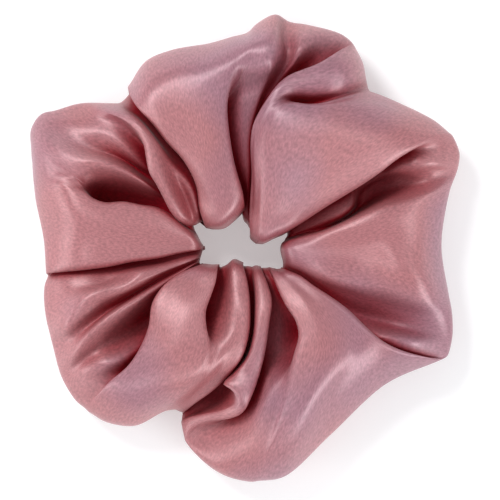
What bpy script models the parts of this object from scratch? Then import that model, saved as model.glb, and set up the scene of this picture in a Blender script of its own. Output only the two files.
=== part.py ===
"""A satin scrunchie: one strip of satin sewn into a gathered tube round a joined ring of flat elastic.

Metres, +Z up. The origin is under the middle of the ring, on the surface that it lies on.
The ring is divided at the plane X = 0, so that its halves can be drawn apart as the elastic stretches:
the left half is the fixed one, and the right half slides along +X.
"""

import math

import bmesh
import bpy
from mathutils import Vector

# Driving dimensions, in metres and degrees.
HEIGHT = 0.030
WALL = 0.0010
DIVISION_GAP = 0.0003

HOLE_CENTRE = (-0.0008, 0.0008)
HOLE_HALF_LENGTH = 0.0110
HOLE_HALF_WIDTH = 0.0046
HOLE_TURN = -6

SEAM_GAP = 0.0010
SEAM_ALLOWANCE = 0.0060
NEEDLE_LINE = 0.0040
THREAD_RADIUS = 0.0002
LONG_SEAM_END_MARGIN = 2
LONG_SEAM_RUNS = 44
CLOSING_START = 200
CLOSING_PITCH = 1.5
CLOSING_STITCHES = 20
CLOSING_DEPTHS = (0.0012, 0.0002)
END_SEAM_ANGLE = 92
END_SEAM_CLEARANCE = 0.0006
END_SEAM_RUNS = 32

ELASTIC_RADIUS = 0.0185
ELASTIC_WIDTH = 0.0060
ELASTIC_THICKNESS = 0.0012
ELASTIC_HEIGHT = 0.0095
ELASTIC_LAP = 32
ELASTIC_STEP = 8
LAP_GAP = 0.0003
THREAD_CLEARANCE = 0.0003
NEEDLE_HOLE_RADIUS = 0.0005
NEEDLE_CUTTER_LENGTH = 0.008
JOIN_STITCHES = 6
JOIN_PITCH = 3.2
JOIN_HALF_WIDTH = 0.0018

# The gathered cover's outline: (degrees from +X, radius) at each ruffle's crest and in each notch between.
OUTLINE = [
    (0, 0.0484), (14, 0.0520), (28, 0.0600), (40, 0.0545), (53, 0.0503), (64, 0.0584), (82, 0.0593),
    (95, 0.0528), (112, 0.0536), (129, 0.0478), (148, 0.0609), (163, 0.0549), (182, 0.0502),
    (200, 0.0522), (218, 0.0566), (235, 0.0545), (248, 0.0434), (259, 0.0546), (275, 0.0589),
    (290, 0.0527), (307, 0.0470), (321, 0.0503), (334, 0.0574), (347, 0.0522),
]
# The creases between the ruffles, on top: (degrees from +X, depth, half width in degrees).
CREASES = [
    (20, 0.0070, 9), (55, 0.0040, 8), (93, 0.0060, 9), (129, 0.0070, 10), (156, 0.0050, 8),
    (187, 0.0055, 9), (210, 0.0060, 9), (248, 0.0055, 10), (271, 0.0070, 8), (292, 0.0050, 8),
    (331, 0.0060, 9),
]

# The cover's section is a superellipse, cut off flat where it lies on the surface.
SECTION_POWER = 2.4
SECTION_POINTS = 26
UNDERSIDE_SQUASH = 1.12
ANGLE_STEP = 5
SHARP_ANGLE = 35

SATIN = (0.478, 0.200, 0.222)
ELASTIC_COLOUR = (0.70, 0.62, 0.60)
THREAD = (0.540, 0.250, 0.270)


def clear_scene():
    for obj in list(bpy.data.objects):
        bpy.data.objects.remove(obj)


def make_material(name, colour, roughness):
    material = bpy.data.materials.new(name)
    material.use_nodes = True
    shader = material.node_tree.nodes["Principled BSDF"]
    shader.inputs["Base Color"].default_value = (*colour, 1)
    shader.inputs["Roughness"].default_value = roughness
    shader.inputs["Metallic"].default_value = 0
    return material


def around(points, angle):
    """The value at an angle of a smooth closed curve through (angle, value) points."""
    count = len(points)
    angle %= 360
    k = max(i for i in range(count) if points[i][0] <= angle)

    def at(i):
        turn, index = divmod(i, count)
        return points[index][0] + 360 * turn, points[index][1]

    (a0, v0), (a1, v1), (a2, v2), (a3, v3) = (at(i) for i in range(k - 1, k + 3))
    slope1 = (v2 - v0) / (a2 - a0)
    slope2 = (v3 - v1) / (a3 - a1)
    span = a2 - a1
    t = (angle - a1) / span
    return (
        (2 * t**3 - 3 * t**2 + 1) * v1
        + (t**3 - 2 * t**2 + t) * span * slope1
        + (3 * t**2 - 2 * t**3) * v2
        + (t**3 - t**2) * span * slope2
    )


def hole_radius(angle):
    """The distance from the origin to the oval hole's edge."""
    turn = math.radians(HOLE_TURN)
    direction = math.radians(angle) - turn
    centre = Vector(HOLE_CENTRE)
    cx = centre.x * math.cos(turn) + centre.y * math.sin(turn)
    cy = centre.y * math.cos(turn) - centre.x * math.sin(turn)
    dx = math.cos(direction) / HOLE_HALF_LENGTH
    dy = math.sin(direction) / HOLE_HALF_WIDTH
    px, py = cx / HOLE_HALF_LENGTH, cy / HOLE_HALF_WIDTH
    a = dx * dx + dy * dy
    b = -(dx * px + dy * py)
    c = px * px + py * py - 1
    return (-b + math.sqrt(b * b - a * c)) / a


def crease_depth(angle):
    depth = 0
    for centre, deepest, half_width in CREASES:
        away = abs((angle - centre + 180) % 360 - 180)
        if away < half_width:
            depth = max(depth, deepest * math.cos(away / half_width * math.pi / 2) ** 2)
    return depth


def section_point(angle, turn, inset):
    """(radius, height) on the cover's section, inset from its outside. Turn 0 is outermost, 90 the top."""
    inner, outer = hole_radius(angle) + inset, around(OUTLINE, angle) - inset
    cosine, sine = math.cos(math.radians(turn)), math.sin(math.radians(turn))
    reach = math.copysign(abs(cosine) ** (2 / SECTION_POWER), cosine)
    rise = math.copysign(abs(sine) ** (2 / SECTION_POWER), sine)
    middle = HEIGHT / 2
    radius = (inner + outer) / 2 + (outer - inner) / 2 * reach
    if rise >= 0:
        crease = crease_depth(angle) * max(0, sine) * min(1, (1.2 - reach) / 1.2)
        return radius, middle + (middle - inset - crease) * rise
    return radius, max(inset, middle + (middle - inset) * rise * UNDERSIDE_SQUASH)


def turn_at_height(above_middle, inset):
    """The turn at which the upper section stands this far above the middle, on the outer side."""
    share = above_middle / (HEIGHT / 2 - inset)
    return math.degrees(math.asin(share ** (SECTION_POWER / 2)))


def cover_section(angle):
    """The cover's whole section at an angle, as one loop with the seam's two allowances turned inside."""
    middle = HEIGHT / 2
    half_gap = SEAM_GAP / 2
    first = turn_at_height(half_gap, 0)
    first_inside = turn_at_height(half_gap + WALL, WALL)
    outer_radius = section_point(angle, first, 0)[0]
    tip = outer_radius - WALL - SEAM_ALLOWANCE

    def turns(start):
        step = (360 - 2 * start) / (SECTION_POINTS - 1)
        return [start + step * i for i in range(SECTION_POINTS)]

    outside = [section_point(angle, turn, 0) for turn in turns(first)]
    outside[0] = (outer_radius, middle + half_gap)
    outside[-1] = (outer_radius, middle - half_gap)
    inside = [section_point(angle, turn, WALL) for turn in reversed(turns(first_inside))]
    inside[0] = (inside[0][0], middle - half_gap - WALL)
    inside[-1] = (inside[-1][0], middle + half_gap + WALL)
    lower_allowance = [(tip, middle - half_gap), (tip, middle - half_gap - WALL)]
    upper_allowance = [(tip, middle + half_gap + WALL), (tip, middle + half_gap)]
    return outside + lower_allowance + inside + upper_allowance


def at_angle(angle, radius, height, side=0):
    """A point of the ring; side shifts it half the division gap to the right (1) or to the left (-1)."""
    a = math.radians(angle)
    return Vector((radius * math.cos(a) + side * DIVISION_GAP / 2, radius * math.sin(a), height))


def add_object(name, mesh, material):
    obj = bpy.data.objects.new(name, mesh)
    bpy.context.scene.collection.objects.link(obj)
    obj.data.materials.append(material)
    return obj


def lofted(name, loops, material):
    """A closed solid through equal loops of points, with flat ends."""
    work = bmesh.new()
    rows = [[work.verts.new(point) for point in loop] for loop in loops]
    for row, following in zip(rows, rows[1:]):
        for i in range(len(row)):
            j = (i + 1) % len(row)
            work.faces.new((row[i], row[j], following[j], following[i]))
    work.faces.new(rows[0])
    work.faces.new(rows[-1])
    bmesh.ops.recalc_face_normals(work, faces=work.faces)
    mesh = bpy.data.meshes.new(name)
    work.to_mesh(mesh)
    work.free()
    mesh.shade_smooth()
    mesh.set_sharp_from_angle(angle=math.radians(SHARP_ANGLE))
    return add_object(name, mesh, material)


def thread(name, points, material):
    """A round thread along straight runs between points."""
    curve = bpy.data.curves.new(name, "CURVE")
    curve.dimensions = "3D"
    curve.bevel_depth = THREAD_RADIUS
    curve.bevel_resolution = 1
    curve.use_fill_caps = True
    spline = curve.splines.new("POLY")
    spline.points.add(len(points) - 1)
    for target, point in zip(spline.points, points):
        target.co = (*point, 1)
    return add_object(name, curve, material)


def make_cover_half(name, first_angle, side, material):
    """Half of the satin tube, from one cut in the plane X = 0 round to the other."""
    angles = range(first_angle, first_angle + 180 + ANGLE_STEP, ANGLE_STEP)
    loops = [[at_angle(angle, *point, side) for point in cover_section(angle)] for angle in angles]
    return lofted(name, loops, material)


def strip_radius(along):
    """The elastic's radius this many degrees from its inner end: it climbs from under its lap to over it."""
    share = along / (360 + ELASTIC_LAP)
    climb = ELASTIC_THICKNESS + LAP_GAP
    return ELASTIC_RADIUS + climb * (share * share * (3 - 2 * share) - 0.5)


def make_elastic_part(name, first, last, side, material):
    """The elastic strip between two distances along it, in degrees from its inner end."""
    loops = []
    steps = round((last - first) / ELASTIC_STEP)
    half_width, half_thickness = ELASTIC_WIDTH / 2, ELASTIC_THICKNESS / 2
    corners = [(-half_thickness, -half_width), (half_thickness, -half_width),
               (half_thickness, half_width), (-half_thickness, half_width)]
    for i in range(steps + 1):
        along = first + (last - first) * i / steps
        radius = strip_radius(along)
        loops.append([
            at_angle(along - ELASTIC_LAP / 2, radius + out, ELASTIC_HEIGHT + up, side) for out, up in corners
        ])
    return lofted(name, loops, material)


def join_needle_points():
    """(angle, height) of each place where the zigzag goes through the elastic's lapped ends."""
    middle = (JOIN_STITCHES - 1) / 2
    return [
        ((i - middle) * JOIN_PITCH, ELASTIC_HEIGHT + (JOIN_HALF_WIDTH if i % 2 else -JOIN_HALF_WIDTH))
        for i in range(JOIN_STITCHES)
    ]


def make_needle_cutter():
    """One cutter with a round bar through each needle hole of the elastic's lap."""
    work = bmesh.new()
    for angle, height in join_needle_points():
        made = bmesh.ops.create_cone(
            work, cap_ends=True, segments=8, radius1=NEEDLE_HOLE_RADIUS,
            radius2=NEEDLE_HOLE_RADIUS, depth=NEEDLE_CUTTER_LENGTH,
        )
        along = at_angle(angle, 1, 0).normalized()
        turn = along.to_track_quat("Z", "Y").to_matrix()
        centre = at_angle(angle, ELASTIC_RADIUS, height, 1)
        for vertex in made["verts"]:
            vertex.co = turn @ vertex.co + centre
    mesh = bpy.data.meshes.new("needle_cutter")
    work.to_mesh(mesh)
    work.free()
    cutter = add_object("needle_cutter", mesh, make_material("cutter", (1, 1, 1), 1))
    cutter.hide_render = True
    cutter.display_type = "WIRE"
    return cutter


def pierce(obj, cutter):
    cut = obj.modifiers.new("needle_holes", "BOOLEAN")
    cut.operation = "DIFFERENCE"
    cut.object = cutter


def make_elastic(elastic_material, thread_material):
    upper_cut = 90 + ELASTIC_LAP / 2
    lower_cut = 270 + ELASTIC_LAP / 2
    make_elastic_part("elastic_band_left", upper_cut, lower_cut, -1, elastic_material)
    inner_end = make_elastic_part("elastic_band_right_inner_end", 0, upper_cut, 1, elastic_material)
    outer_end = make_elastic_part(
        "elastic_band_right_outer_end", lower_cut, 360 + ELASTIC_LAP, 1, elastic_material,
    )
    cutter = make_needle_cutter()
    pierce(inner_end, cutter)
    pierce(outer_end, cutter)
    reach = (2 * ELASTIC_THICKNESS + LAP_GAP) / 2 + THREAD_CLEARANCE + THREAD_RADIUS
    inside, outside = ELASTIC_RADIUS - reach, ELASTIC_RADIUS + reach
    points = []
    for i, (angle, height) in enumerate(join_needle_points()):
        near, far = (inside, outside) if i % 2 == 0 else (outside, inside)
        points += [at_angle(angle, near, height, 1), at_angle(angle, far, height, 1)]
    thread("elastic_join_thread", points, thread_material)


def needle_line_radius(angle, depth):
    return section_point(angle, 0, 0)[0] - depth


def make_long_seam_thread(name, first_angle, side, material):
    """The long seam's thread, between the two allowances of one half."""
    sweep = 180 - 2 * LONG_SEAM_END_MARGIN
    points = []
    for i in range(LONG_SEAM_RUNS + 1):
        angle = first_angle + LONG_SEAM_END_MARGIN + sweep * i / LONG_SEAM_RUNS
        points.append(at_angle(angle, needle_line_radius(angle, WALL + NEEDLE_LINE), HEIGHT / 2, side))
    thread(name, points, material)


def make_closing_stitch_thread(material):
    """The hand stitches, just inside the long seam, that close the gap left for putting the elastic in."""
    points = []
    for i in range(CLOSING_STITCHES + 1):
        angle = CLOSING_START + CLOSING_PITCH * i
        radius = needle_line_radius(angle, WALL + CLOSING_DEPTHS[i % 2])
        points.append(at_angle(angle, radius, HEIGHT / 2, -1))
    thread("closing_stitch_thread", points, material)


def make_end_seam_thread(material):
    """The stitches that join the tube's two ends, which run round its inside beside the division."""
    inset = WALL + END_SEAM_CLEARANCE
    first_turn = turn_at_height(SEAM_GAP / 2 + inset, inset)
    sweep = 360 - 2 * first_turn
    points = []
    for i in range(END_SEAM_RUNS + 1):
        turn = first_turn + sweep * i / END_SEAM_RUNS
        points.append(at_angle(END_SEAM_ANGLE, *section_point(END_SEAM_ANGLE, turn, inset), -1))
    thread("end_seam_thread", points, material)


def main():
    clear_scene()
    satin = make_material("satin", SATIN, 0.38)
    elastic = make_material("elastic", ELASTIC_COLOUR, 0.75)
    sewing_thread = make_material("sewing_thread", THREAD, 0.6)
    make_cover_half("satin_cover_right", -90, 1, satin)
    make_cover_half("satin_cover_left", 90, -1, satin)
    make_elastic(elastic, sewing_thread)
    make_long_seam_thread("long_seam_thread_right", -90, 1, sewing_thread)
    make_long_seam_thread("long_seam_thread_left", 90, -1, sewing_thread)
    make_closing_stitch_thread(sewing_thread)
    make_end_seam_thread(sewing_thread)


main()
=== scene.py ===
"""The scrunchie's looks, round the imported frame: its satin tube, the elastic inside it and its sewing thread.

The satin is one closed tube. It runs through a ring of fold lines, each a line along the top of the cloth
from the hair hole out to the tube's outer edge: the crest of a ruffle, the floor of a crease, the lip of a
fold or the place where the cloth turns back under its neighbour. The rest of each section, under the ring
and up through its hole, follows a rule. The lines' points are in millimetres, in the frame's own axes.
"""

import math

import bpy
import numpy as np
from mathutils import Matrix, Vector
from mathutils.bvhtree import BVHTree

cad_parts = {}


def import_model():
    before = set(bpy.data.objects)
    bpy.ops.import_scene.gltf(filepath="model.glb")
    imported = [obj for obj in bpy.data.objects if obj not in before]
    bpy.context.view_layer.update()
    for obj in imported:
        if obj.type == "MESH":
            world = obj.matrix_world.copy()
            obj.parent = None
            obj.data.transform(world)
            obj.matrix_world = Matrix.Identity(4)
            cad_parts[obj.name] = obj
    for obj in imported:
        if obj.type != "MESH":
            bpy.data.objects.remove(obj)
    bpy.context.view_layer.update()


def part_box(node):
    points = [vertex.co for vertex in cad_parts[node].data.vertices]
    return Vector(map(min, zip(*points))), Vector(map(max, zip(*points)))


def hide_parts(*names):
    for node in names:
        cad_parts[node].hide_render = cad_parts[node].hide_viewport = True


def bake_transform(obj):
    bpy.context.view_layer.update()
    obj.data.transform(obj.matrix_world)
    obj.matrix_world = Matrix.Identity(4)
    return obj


MM = 0.001

# Anticlockwise from the ruffle at the far side (+Y). Each point is (x, y, height).
FOLD_LINES = {
    "far ruffle crest": [
        (0.3, 6.8, 11), (0.4, 11.5, 14.6), (0.6, 18.5, 17.85), (0.5, 25.5, 19.8), (1.4, 32, 20.3),
        (3, 37.5, 20.62), (4.4, 41, 20.36), (5.2, 43.6, 22), (6, 47, 24.2), (6.8, 52, 22.8),
        (7.1, 55.5, 18.5), (7.3, 58.7, 11),
    ],
    "far recess floor": [
        (-0.5, 7.6, 11.5), (-0.4, 13.5, 14.6), (-1.2, 21, 18.1), (-1.6, 29, 19.6), (-1.2, 36, 20.2),
        (-0.4, 40.5, 20.08), (0.2, 43.2, 21.6), (0.9, 46.4, 23.8), (1.8, 50.5, 23.4), (2.4, 54.2, 18),
        (2.6, 56.3, 11),
    ],
    "far recess tuck": [
        (-0.9, 8.8, 11.5), (-2.4, 14.5, 14.4), (-5.4, 21.5, 15.5), (-6.6, 29, 16.5), (-6.2, 35.5, 17.5),
        (-3.6, 39.6, 19.4), (-2, 42.8, 21.6), (-1.2, 46.2, 24), (-0.4, 50.5, 22.6), (0.4, 54.2, 11),
    ],
    "wide ruffle right lip": [
        (-0.2, 10.4, 16), (-0.8, 14.5, 20), (-2.8, 21.5, 22), (-4.2, 30, 22.8), (-4.6, 35.5, 23.2),
        (-4.2, 39.2, 23.4), (-3.4, 42.6, 23.6), (-3, 46, 24.2), (-3, 50, 21.6), (-3.2, 53.2, 11),
    ],
    "wide ruffle right crest": [
        (-2.6, 8, 18), (-4.2, 13.5, 24), (-6.8, 21, 25.6), (-8.6, 30, 25.6), (-9.6, 38, 25),
        (-9.8, 45, 23.4), (-9.4, 49, 19), (-9.1, 51.5, 11),
    ],
    "wide ruffle middle": [
        (-5.6, 5.8, 18), (-8, 12.5, 23.8), (-11, 20.5, 25.4), (-14.2, 29, 25.2), (-16.4, 37, 24.4),
        (-17.6, 44, 22.2), (-18, 47.5, 18), (-18.3, 49.9, 11),
    ],
    "wide ruffle left shoulder": [
        (-8.3, 5.5, 17), (-10, 12.5, 22.4), (-13, 20, 24.2), (-17.6, 26.8, 24.6), (-21.6, 33, 24.4),
        (-24, 39.5, 22.8), (-24.8, 44, 18.4), (-25, 47, 11),
    ],
    "wide ruffle left lip": [
        (-10.2, 5.8, 14), (-11.6, 10.5, 17.5), (-12.2, 15.5, 19.5), (-14, 19.8, 20.8), (-16.3, 23.2, 21.2),
        (-19.6, 26.6, 21.8), (-23, 31, 22.2), (-27, 35.4, 21.5), (-28.8, 38.4, 17.5), (-29.4, 40.6, 11),
    ],
    "wide ruffle left tuck": [
        (-9.8, 7.6, 12), (-10, 11.5, 13.8), (-10.2, 16.8, 13.6), (-12, 22.5, 12), (-14.8, 27.5, 11),
        (-19.2, 32.8, 11), (-24.4, 37.2, 11.5), (-28.6, 39.8, 8),
    ],
    "rolled band right rim": [
        (-11.6, 7.2, 14.5), (-12.3, 10.4, 19.2), (-13.1, 14, 20), (-14.8, 18, 19.6), (-17.4, 22, 18.6),
        (-20.8, 26.4, 18.6), (-25, 31.6, 18), (-29, 35.4, 14.5), (-31.2, 36.8, 9),
    ],
    "rolled band trough": [
        (-12.8, 6.6, 15), (-13.9, 10, 17.6), (-15.4, 14, 18.2), (-17.4, 18, 20.2), (-19.8, 22.2, 22.4),
        (-22.2, 26.8, 23.6), (-26, 31.8, 22.6), (-30, 34.8, 17.5), (-33.6, 36.6, 9.5),
    ],
    "rolled band crest": [
        (-14, 6.3, 16.5), (-15.9, 8.4, 20.4), (-17.8, 11.5, 22.4), (-19.6, 15, 23.8), (-21.4, 19, 24.8),
        (-22.8, 23, 25.4), (-24.2, 27, 25.4), (-27.2, 31.2, 24.2), (-31.2, 33.8, 20.5), (-34.8, 35.4, 16),
        (-37, 36.7, 10),
    ],
    "rolled band left lip": [
        (-14.6, 6, 14.5), (-17, 7.4, 17.6), (-18.9, 9.8, 19.4), (-20.6, 13.2, 20.8), (-22.2, 16.2, 21.8),
        (-24, 19.2, 22.6), (-24.8, 23, 23), (-25.5, 26.6, 22.8), (-27.8, 30, 21.8), (-31.6, 32.8, 20),
        (-36, 34.4, 17), (-39.2, 36.7, 10),
    ],
    "rolled band tuck": [
        (-13.6, 7, 11.5), (-15.6, 9, 13.9), (-17, 12, 14.2), (-18.6, 15.5, 14.4), (-20.8, 19.2, 15),
        (-22.8, 22.6, 16), (-25.6, 26, 17.2), (-28.8, 29.2, 18.1), (-32.8, 31.8, 18), (-37.6, 33.4, 16),
        (-40.8, 36.6, 10),
    ],
    "corner ruffle upper crest": [
        (-13.5, 6.6, 11.8), (-15.6, 9.2, 14.3), (-17.4, 12, 14.6), (-19.2, 15.5, 14.9), (-22, 18.6, 15.8),
        (-25, 20.6, 18.4), (-28.4, 24.2, 20.2), (-32.4, 27.8, 19.6), (-36.6, 30.8, 17.6),
        (-40.4, 33.4, 14.8), (-43, 36.2, 10),
    ],
    "corner ruffle middle": [
        (-13.5, 6.4, 11.8), (-15.6, 8.9, 14.2), (-17.5, 11.8, 14.5), (-19.4, 15.1, 14.8),
        (-22.2, 17.8, 15.5), (-26, 20.2, 17.6), (-31, 23.8, 18.8), (-36.5, 27.6, 18.2),
        (-41.4, 30.4, 16.6), (-45, 32.8, 14.2), (-47.4, 34.8, 10),
    ],
    "corner ruffle crease": [
        (-13.4, 6.2, 11.8), (-15.6, 8.6, 14.1), (-17.6, 11.6, 14.4), (-19.6, 14.8, 14.7), (-22, 16.8, 15),
        (-24.8, 18.4, 16), (-29.8, 22, 17.4), (-34.4, 24, 17.8), (-38.8, 25.4, 18), (-42.8, 27.4, 17.4),
        (-46.6, 30, 15.8), (-49.6, 32.2, 13.4), (-51, 33.9, 9.5),
    ],
    "left eye upper rim": [
        (-13.3, 5.8, 12), (-15.6, 8, 14.4), (-17.8, 10.8, 14.7), (-20, 13.2, 15.4), (-22.6, 14.8, 17.8),
        (-26, 17.2, 21), (-30.5, 19.8, 23.4), (-34.8, 21.4, 24.4), (-38.6, 22, 24.2), (-42.6, 23, 23),
        (-47.5, 25.4, 20.6), (-51.4, 28, 16.5), (-53.6, 30, 10),
    ],
    "left eye slope": [
        (-13.2, 5.4, 12), (-15.6, 7.4, 14.1), (-18, 9.8, 14.4), (-20.6, 11.9, 14.8), (-24, 13.9, 15.8),
        (-29, 16.2, 16.6), (-33.5, 17.4, 17.2), (-37.2, 17.6, 18.4), (-40.6, 18.4, 22), (-45.5, 20.6, 22),
        (-50, 23, 19.6), (-52.6, 24.4, 16), (-53.5, 25, 10.5),
    ],
    "left eye floor": [
        (-13, 4.8, 12), (-15.6, 6.4, 13.9), (-18.2, 8.2, 14), (-21.4, 9.2, 13.6), (-25.4, 9.6, 11),
        (-30, 10, 9), (-34.4, 10.6, 9), (-37.4, 12, 11.5), (-39.4, 14.6, 17.5), (-41.6, 16.8, 21.6),
        (-45.5, 18.2, 21.4), (-49.8, 19.6, 19), (-52.2, 20.6, 15.6), (-53.2, 21, 10.5),
    ],
    "left eye lower lip": [
        (-12.7, 4.2, 13.3), (-15.6, 6.2, 15.8), (-18.4, 8.7, 17.8), (-22, 10.6, 19.6), (-26, 11.2, 20.8),
        (-30.3, 12, 21.6), (-34.8, 11.7, 22), (-38.2, 12.9, 22.3), (-40.7, 14.8, 22.3), (-45.5, 16.2, 22),
        (-50.4, 16.8, 17.5), (-53, 17.8, 10.5),
    ],
    "left panel upper": [
        (-11.8, 2.4, 14.6), (-16, 4.2, 18.6), (-22, 6.4, 20.8), (-30, 7.6, 22.6), (-38, 8.6, 23.4),
        (-44, 10.2, 22.4), (-49.5, 11.4, 17.4), (-52.3, 12, 11),
    ],
    "left panel lower": [
        (-11, 0.9, 14), (-16, 1, 17.4), (-24, 1, 19), (-33, 1.4, 20), (-41, 2, 20), (-46.5, 2.6, 16.8),
        (-50.4, 2.8, 11),
    ],
    "left panel lip": [
        (-10.9, 0.1, 13.2), (-15.7, -0.7, 16), (-21.9, -2.1, 17.2), (-28.2, -3, 17.8), (-34, -4.2, 18),
        (-40, -5, 17.4), (-45.5, -5.5, 15.4), (-48.6, -5.7, 13), (-49.8, -5.7, 10),
    ],
    "left panel tuck": [
        (-11, 0.8, 11.5), (-15.8, 0.8, 13.8), (-21.5, 0.4, 13.4), (-28, -0.4, 12.5), (-34, -1.4, 12.5),
        (-40, -2.6, 12.5), (-45.2, -3.8, 11.5), (-49.4, -6.4, 8),
    ],
    "glossy ruffle upper edge": [
        (-11.4, -0.6, 12.8), (-16, -1.6, 14.8), (-21.5, -2.9, 15), (-28, -4, 15.4), (-34, -5.4, 16),
        (-40, -6.4, 16.2), (-46, -7.6, 14.8), (-50.2, -9, 10),
    ],
    "glossy ruffle upper crest": [
        (-11.6, -1.4, 13.8), (-16.5, -2.9, 17), (-21.5, -4.2, 18.4), (-26.2, -5.6, 20.4),
        (-30.5, -6.4, 18.2), (-34.5, -7.4, 17.2), (-39, -8.6, 17.6), (-45, -10.4, 16.2),
        (-50.3, -12.6, 10.5),
    ],
    "glossy ruffle crest": [
        (-11.8, -2, 14.6), (-16.8, -3.9, 17.8), (-21.5, -5.6, 19.6), (-26.4, -7.6, 21),
        (-31.8, -10, 21.4), (-37.3, -10.8, 21.8), (-41.8, -12.2, 20.6), (-45.6, -14, 17),
        (-48.4, -16, 13.5), (-49.8, -17, 10.5),
    ],
    "glossy ruffle lower slope": [
        (-11.9, -2.3, 14), (-16.8, -4.5, 16.8), (-21.5, -6.6, 18), (-26, -9.2, 18.6),
        (-30.8, -11.8, 18.8), (-35.4, -13.6, 19.6), (-40.4, -15.8, 20.8), (-44.6, -18.8, 19.4),
        (-47.6, -20.2, 14.4), (-48.9, -20.8, 10.5),
    ],
    "glossy ruffle crease": [
        (-11.9, -2.6, 13.6), (-16.8, -5.1, 16), (-21.5, -7.4, 16.6), (-25.8, -10, 16.8), (-30, -12.6, 17),
        (-34.2, -15, 17.4), (-38.2, -18, 18), (-42.6, -21.4, 17.2), (-46.2, -23.6, 13.4),
        (-48, -24.4, 10),
    ],
    "glossy ruffle lower crest": [
        (-12, -3, 14.5), (-17.6, -6.4, 18.4), (-21.9, -9.2, 20.2), (-26.6, -12, 21.4), (-31.4, -14.9, 22.4),
        (-36, -18.2, 22.3), (-39.8, -21.8, 20.8), (-43, -26, 17.5), (-45.6, -28.4, 13), (-46.8, -29.2, 10),
    ],
    "glossy ruffle hollow": [
        (-11.6, -4, 12), (-15, -7.2, 14), (-18.2, -10.6, 13.8), (-21, -14.2, 12.8), (-24.6, -17.4, 11.8),
        (-28.6, -20, 13.2), (-32.8, -22.4, 15.4), (-37, -25, 17.2), (-41.2, -28.2, 16), (-44.6, -31.2, 12.5),
        (-45.9, -31.8, 9.8),
    ],
    "low ridge": [
        (-11.3, -4.4, 12), (-14.4, -7.8, 14), (-17, -11.6, 13.8), (-19.2, -15.6, 12.8), (-22, -20, 13),
        (-26, -24.2, 17.2), (-30.4, -26.6, 20), (-35, -28, 20.6), (-39.6, -29.6, 18.5), (-43, -33, 13.5),
        (-44.2, -35, 10),
    ],
    "low ridge crease": [
        (-11, -4.6, 12), (-14, -8, 13.9), (-16.4, -12, 13.7), (-18.4, -16.2, 12.6), (-20.8, -21, 12.4),
        (-24.4, -25.8, 14), (-28.6, -29, 16.6), (-33, -30.6, 18), (-37.4, -32, 17.5), (-40.8, -35.4, 13.5),
        (-42.2, -37.8, 9.5),
    ],
    "big left ruffle tuck": [
        (-10.8, -4.4, 12), (-13.6, -8.2, 13.8), (-15.8, -12.4, 13.6), (-17.6, -17, 12.3), (-20, -22, 12),
        (-23.6, -26.8, 13.4), (-28, -30, 16.2), (-33.4, -33, 18), (-37.6, -36.6, 14.5), (-40.2, -39.4, 9.5),
    ],
    "big left ruffle lip": [
        (-11.4, -3.6, 15), (-15.5, -5.3, 18.2), (-18.6, -7.2, 19.4), (-21.2, -9.6, 20), (-23.4, -13.4, 20.5),
        (-24.1, -18.6, 20.6), (-26, -23.6, 20.6), (-29.2, -28.6, 20.6), (-33.8, -32.6, 19.6),
        (-37.6, -37, 14.8), (-39, -40.5, 9.8),
    ],
    "big left ruffle shoulder": [
        (-10.4, -3.7, 16), (-13.6, -7.2, 20.8), (-17, -11.4, 22.6), (-19.8, -16.8, 23.6), (-21.6, -22.6, 24),
        (-24.6, -28.6, 23.8), (-29, -34.2, 21.5), (-33, -39.8, 16), (-34.8, -42.9, 10.5),
    ],
    "big left ruffle crest": [
        (-9, -3.9, 16.5), (-11.4, -8.4, 21.8), (-13.8, -14, 24.2), (-15.8, -20, 25.4), (-18.2, -26.4, 25.8),
        (-21.4, -32.6, 24.4), (-24.6, -37.8, 20.4), (-26.8, -41.6, 15.5), (-27.6, -43.8, 10.5),
    ],
    "small eye left lip": [
        (-7, -3.9, 16.3), (-7.4, -7.6, 20.2), (-8.8, -11.8, 21.6), (-9.9, -15, 22.2), (-9.8, -19, 23),
        (-9.2, -23.4, 24.4), (-11.6, -30, 24.8), (-15.2, -35.6, 21), (-18.8, -38.8, 15.5),
        (-20.4, -40.2, 10.5),
    ],
    "small eye floor": [
        (-6.6, -4.6, 12.5), (-8.4, -8, 14), (-11, -12.6, 13.9), (-11.8, -15.8, 13.8), (-10.6, -19.4, 17),
        (-8, -23.6, 22.6), (-9.6, -29.8, 23.6), (-13.4, -35.2, 20), (-17.4, -38.6, 15), (-19, -39.9, 10.5),
    ],
    "small eye inner slope": [
        (-5, -4, 13.2), (-5.8, -8, 15), (-6.6, -13.5, 16.6), (-6.2, -18.5, 19.6), (-6, -23.4, 22.6),
        (-8, -29.4, 22.6), (-12, -34.6, 18.8), (-15.9, -38.4, 14.5), (-17.6, -39.8, 10),
    ],
    "small eye right rim": [
        (-3.2, -2.6, 15), (-2.9, -8, 19.6), (-2.2, -13.4, 21.6), (-2, -19, 22.4), (-3.4, -24.2, 22.4),
        (-6.4, -30, 20.8), (-10.6, -35, 17.5), (-14.8, -38.8, 13.5), (-16.6, -40.2, 9.8),
    ],
    "big left ruffle right lip": [
        (-0.7, -3.5, 13.3), (0.5, -8.3, 17.8), (1.1, -13.6, 19.4), (0.9, -20.2, 20), (-0.8, -26.4, 19.8),
        (-4, -30.8, 18.8), (-8, -34.8, 16.6), (-12.4, -38, 14), (-15.6, -40.6, 9),
    ],
    "big left ruffle right tuck": [
        (-1.2, -4.4, 11), (-1.4, -8.5, 13.4), (-1.4, -14.5, 13.9), (-2.2, -20.5, 13.6), (-4.4, -25.8, 12.4),
        (-7.2, -29.8, 11.4), (-10.4, -33.4, 10.8), (-13.6, -37.2, 10.4), (-15.9, -41.2, 7.5),
    ],
    "near gap floor": [
        (0.6, -4.4, 11.5), (1.6, -9, 13.9), (1.8, -15, 14), (1.3, -21, 13.6), (-0.8, -27, 12),
        (-4, -32, 11.4), (-6.2, -36, 10.5), (-10, -38.6, 11), (-16, -42.2, 8.8),
    ],
    "near band left lip": [
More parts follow.
